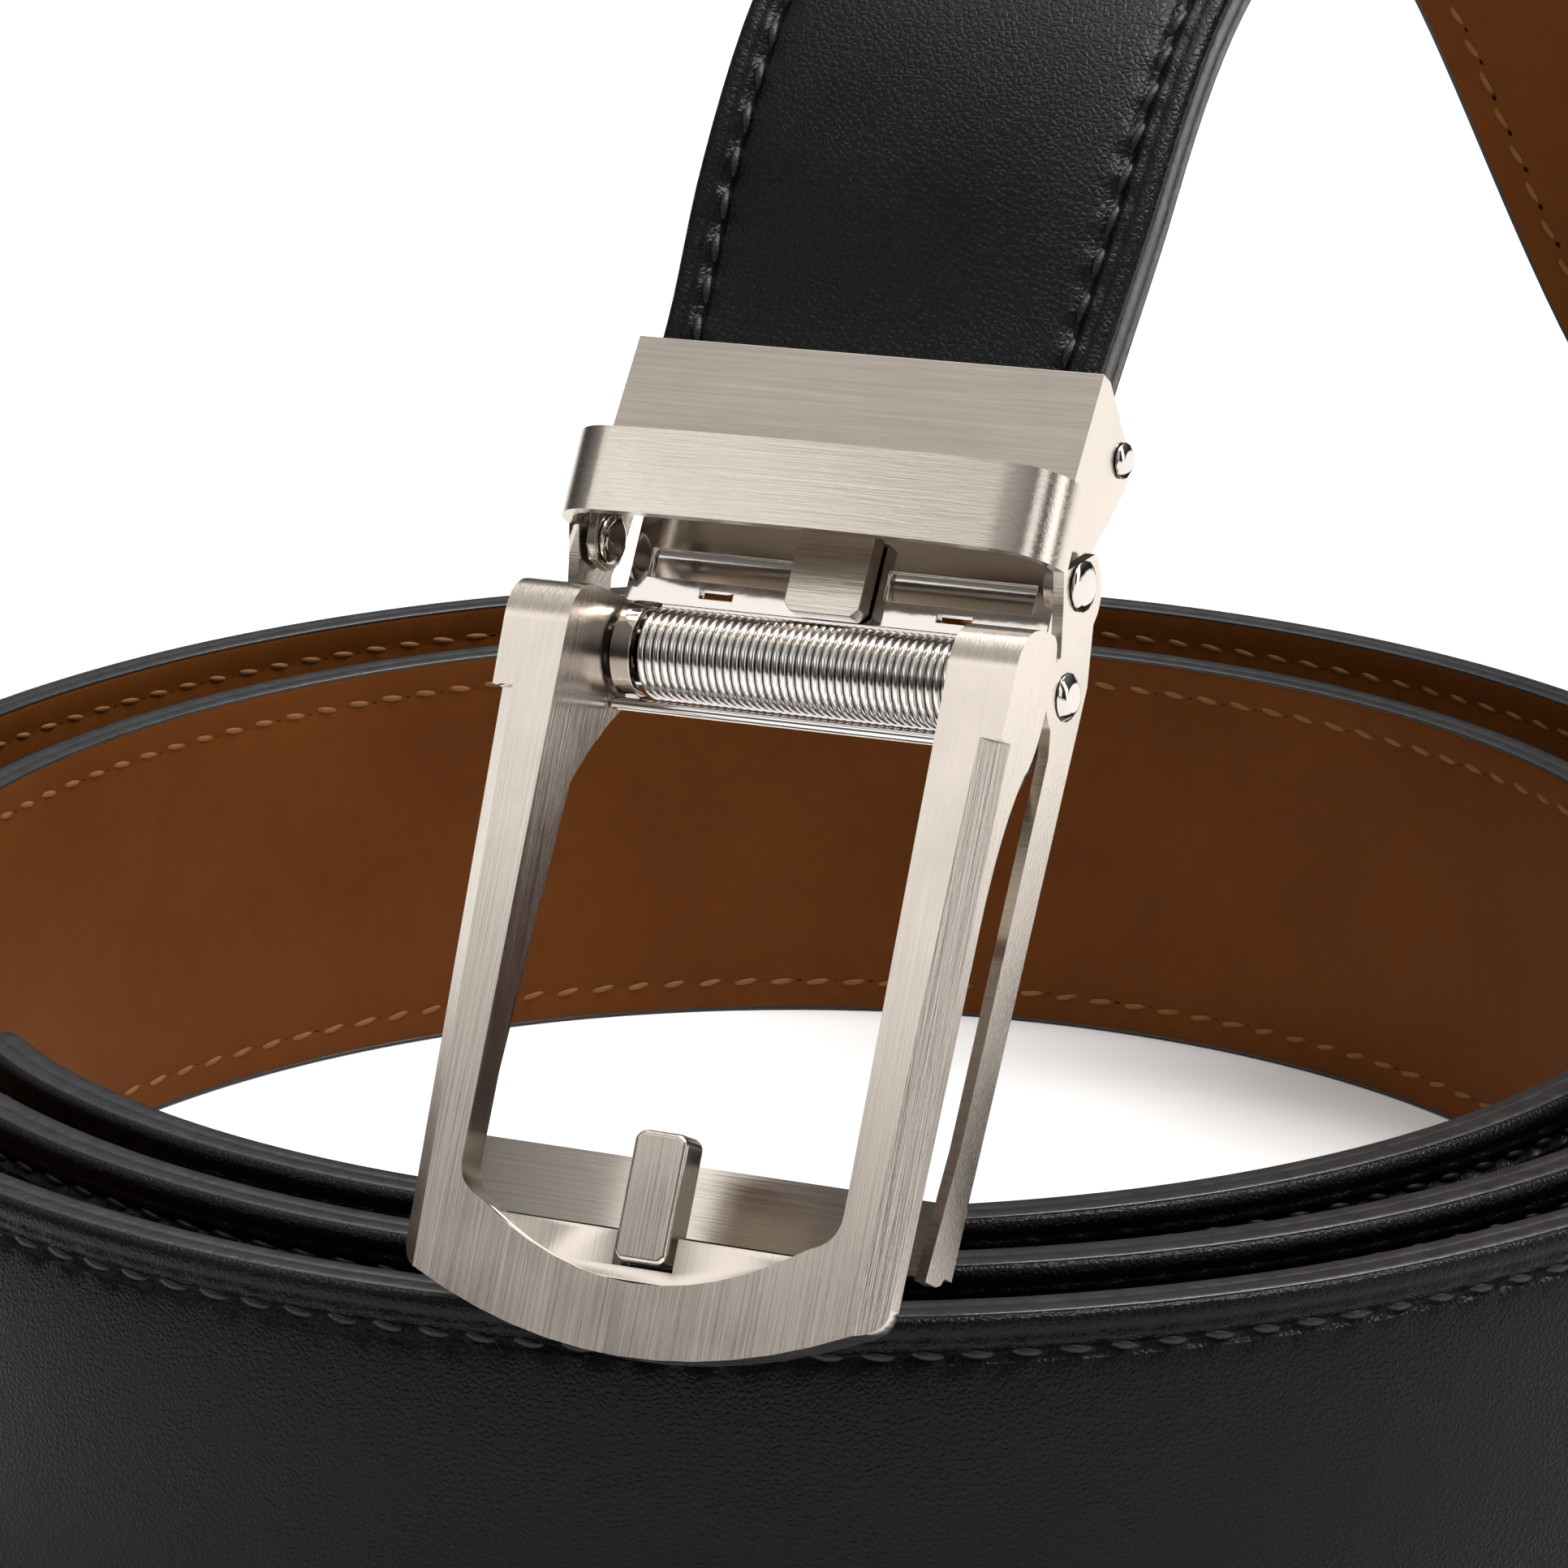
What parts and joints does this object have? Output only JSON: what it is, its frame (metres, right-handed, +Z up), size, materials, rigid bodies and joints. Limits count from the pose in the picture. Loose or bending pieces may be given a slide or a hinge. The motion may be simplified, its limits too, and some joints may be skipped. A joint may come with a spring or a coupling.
{
  "type": "ratchet belt",
  "caption": "Leather ratchet belt coiled on its edge, its buckle end arched up and over, with a sprung open-frame buckle, a toothed strap clamp and a toothed track at the tail.",
  "frame": {"origin": "middle of the belt's bounding box in X and Y, on the surface that the coil stands on", "axes": "+Z up along the strap's width in the coil, -Y towards the buckle's side, +X to the right as seen from there"},
  "size_m": [0.19, 0.1922, 0.137],
  "materials": {
    "black_leather": "satin grain",
    "brown_leather": "smooth matt",
    "black_plastic": "moulded",
    "brushed_nickel": "brushed",
    "polished_nickel": "polished",
    "spring_steel": "bright"
  },
  "bodies": {
    "strap": {"strap_face": "black_leather", "strap_lining": "brown_leather", "ratchet_track": "black_plastic", "clamp_box": "brushed_nickel", "clamp_pin": "polished_nickel"},
    "jaw": {"clamp_jaw": "polished_nickel"},
    "chassis": {"chassis": "brushed_nickel", "back_plate": "polished_nickel", "centre_post": "brushed_nickel", "swivel_rivet_left": "polished_nickel", "swivel_rivet_right": "polished_nickel", "hinge_pin": "polished_nickel", "spring_coil": "spring_steel"},
    "frame": {"front_frame": "brushed_nickel", "prong_tip": "brushed_nickel", "spring_ear": "polished_nickel", "spring_bar": "spring_steel"}
  },
  "joints": [
    {"name": "buckle_swing", "type": "hinge", "parent": "strap", "child": "chassis", "pos_m": [-0.00684, -0.05976, 0.08126], "axis": [-0.8736, 0.4843, -0.048], "range_deg": [0, 18]},
    {"name": "frame_lift", "type": "hinge", "parent": "chassis", "child": "frame", "pos_m": [-0.00785, -0.06226, 0.07434], "axis": [-0.8736, 0.4843, -0.048], "range_deg": [0, 22], "stiffness_Nm_per_rad": 0.04, "springref_deg": -34.38},
    {"name": "jaw_open", "type": "hinge", "parent": "strap", "child": "jaw", "pos_m": [-0.00292, -0.05204, 0.0877], "axis": [0.8736, -0.4843, 0.048], "range_deg": [0, 95]}
  ]
}
